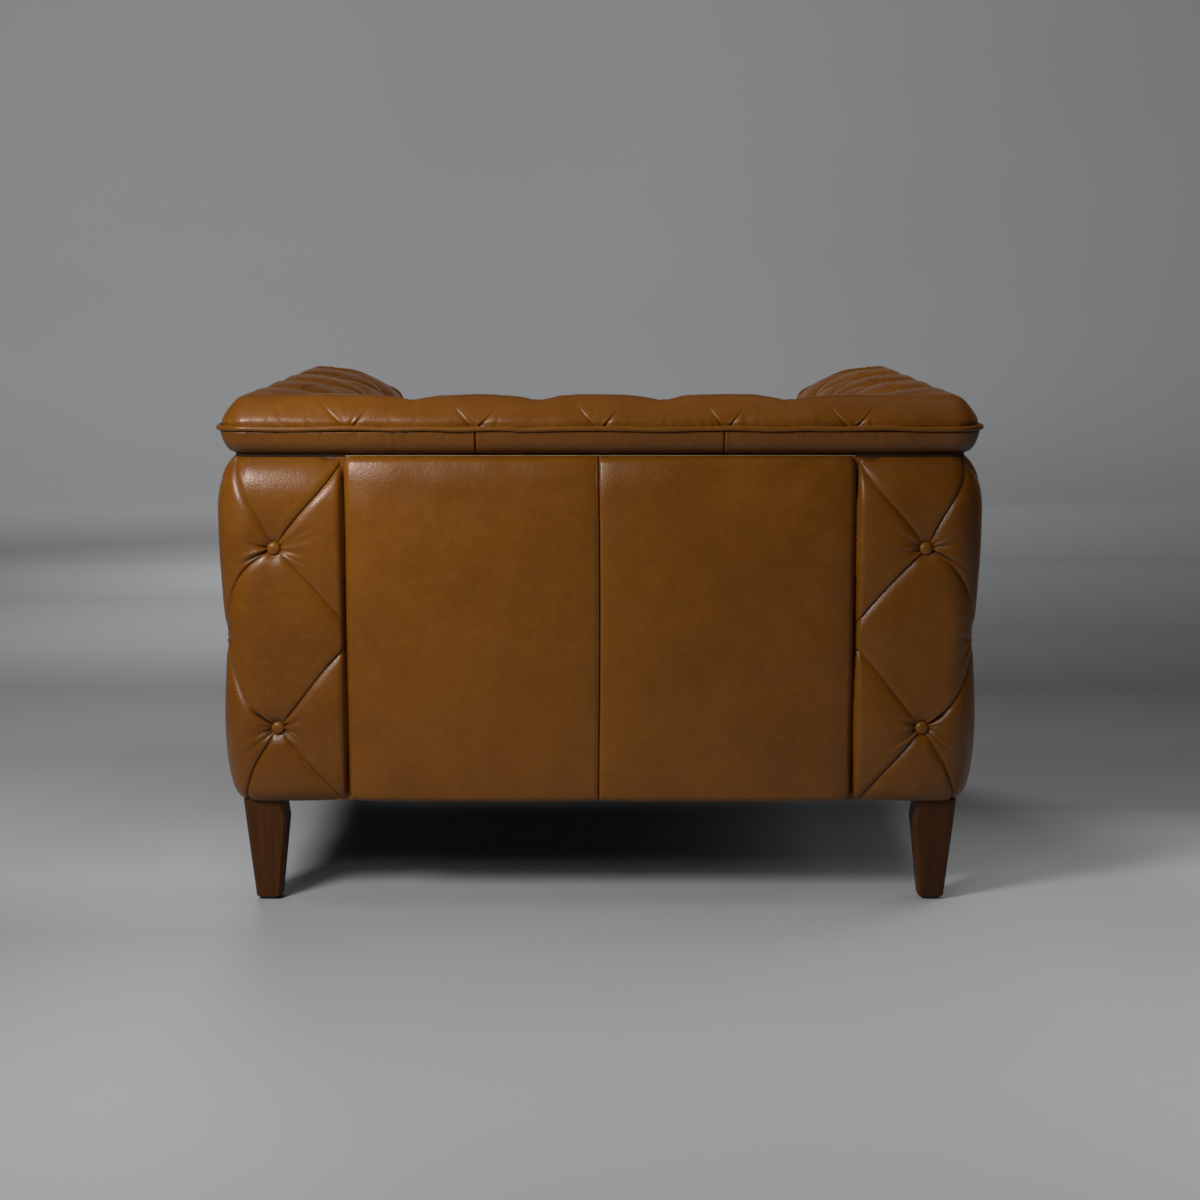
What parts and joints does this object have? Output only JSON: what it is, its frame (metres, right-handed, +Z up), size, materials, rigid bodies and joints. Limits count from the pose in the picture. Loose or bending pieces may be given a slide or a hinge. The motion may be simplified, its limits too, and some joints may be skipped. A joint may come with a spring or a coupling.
{
  "type": "chesterfield armchair",
  "caption": "Low chesterfield armchair: rolled tufted arms and back at one height, plain outside back panel, tapered wooden legs and a zipped seat cushion that lifts out.",
  "frame": {"origin": "on the floor under the middle of the chair", "axes": "+Z up, -Y the way the sitter faces, +X the sitter's left"},
  "size_m": [1.063, 0.873, 0.72],
  "materials": {
    "cognac_leather": "satin pull-up leather",
    "leather_piping": "satin",
    "dark_walnut": "satin lacquer",
    "frame_timber": "sawn",
    "hardboard": "sanded",
    "foam": "open cell",
    "felt": "matt",
    "hessian": "coarse weave",
    "webbing": "woven",
    "dust_cloth": "matt",
    "spring_steel": "drawn wire",
    "zinc_steel": "zinc plated",
    "insert_brass": "machined",
    "glide_nylon": "moulded",
    "zip_tape": "woven",
    "zip_brass": "antique"
  },
  "bodies": {
    "chair": {"arm_webbing_left": "webbing", "arm_webbing_right": "webbing", "back_webbing": "webbing", "dust_cover": "dust_cloth", "dust_cover_staples": "cognac_leather", "frame_arm_linings": "hardboard", "frame_arm_rail_left": "frame_timber", "frame_arm_rail_right": "frame_timber", "frame_arm_tack_rails": "frame_timber", "frame_back_lining": "hardboard", "frame_back_rail": "frame_timber", "frame_back_tack_rail": "frame_timber", "frame_centre_post": "frame_timber", "frame_facing_board_left": "frame_timber", "frame_facing_board_right": "frame_timber", "frame_inner_posts": "frame_timber", "frame_leg_blocks": "dark_walnut", "frame_low_back_rail": "frame_timber", "frame_low_side_rails": "frame_timber", "frame_rear_posts": "frame_timber", "frame_seat_front_rail": "frame_timber", "frame_seat_rear_rail": "frame_timber", "frame_seat_side_rail_left": "frame_timber", "frame_seat_side_rail_right": "frame_timber", "front_border_cover": "cognac_leather", "front_border_foam": "foam", "inner_arm_buttons": "cognac_leather", "inner_arm_cover_left": "cognac_leather", "inner_arm_cover_right": "cognac_leather", "inner_arm_foam_left": "foam", "inner_arm_foam_right": "foam", "inner_back_buttons": "cognac_leather", "inner_back_cover": "cognac_leather", "inner_back_foam": "foam", "leg_bolts": "zinc_steel", "leg_front_left": "dark_walnut", "leg_front_right": "dark_walnut", "leg_glides": "glide_nylon", "leg_inserts": "insert_brass", "leg_rear_left": "dark_walnut", "leg_rear_right": "dark_walnut", "outer_arm_buttons": "cognac_leather", "outer_arm_cover_left": "cognac_leather", "outer_arm_cover_right": "cognac_leather", "outer_arm_foam_left": "foam", "outer_arm_foam_right": "foam", "outside_back_cover": "cognac_leather", "outside_back_foam": "foam", "seat_deck_pad": "felt", "seat_hessian": "hessian", "seat_springs": "spring_steel", "spring_clips": "zinc_steel", "top_band": "cognac_leather", "top_welt": "leather_piping"},
    "seat_cushion": {"seat_cushion_cover": "cognac_leather", "seat_cushion_foam": "foam", "seat_cushion_welts": "leather_piping", "seat_cushion_zip": "zip_tape"},
    "zip_slider": {"zip_slider": "zip_brass"}
  },
  "joints": [
    {"name": "cushion_lift", "type": "slide", "parent": "chair", "child": "seat_cushion", "axis": [0, 0, 1], "range_m": [0, 0.46]},
    {"name": "zip_slide", "type": "slide", "parent": "seat_cushion", "child": "zip_slider", "axis": [1, 0, 0], "range_m": [0, 0.509]}
  ]
}
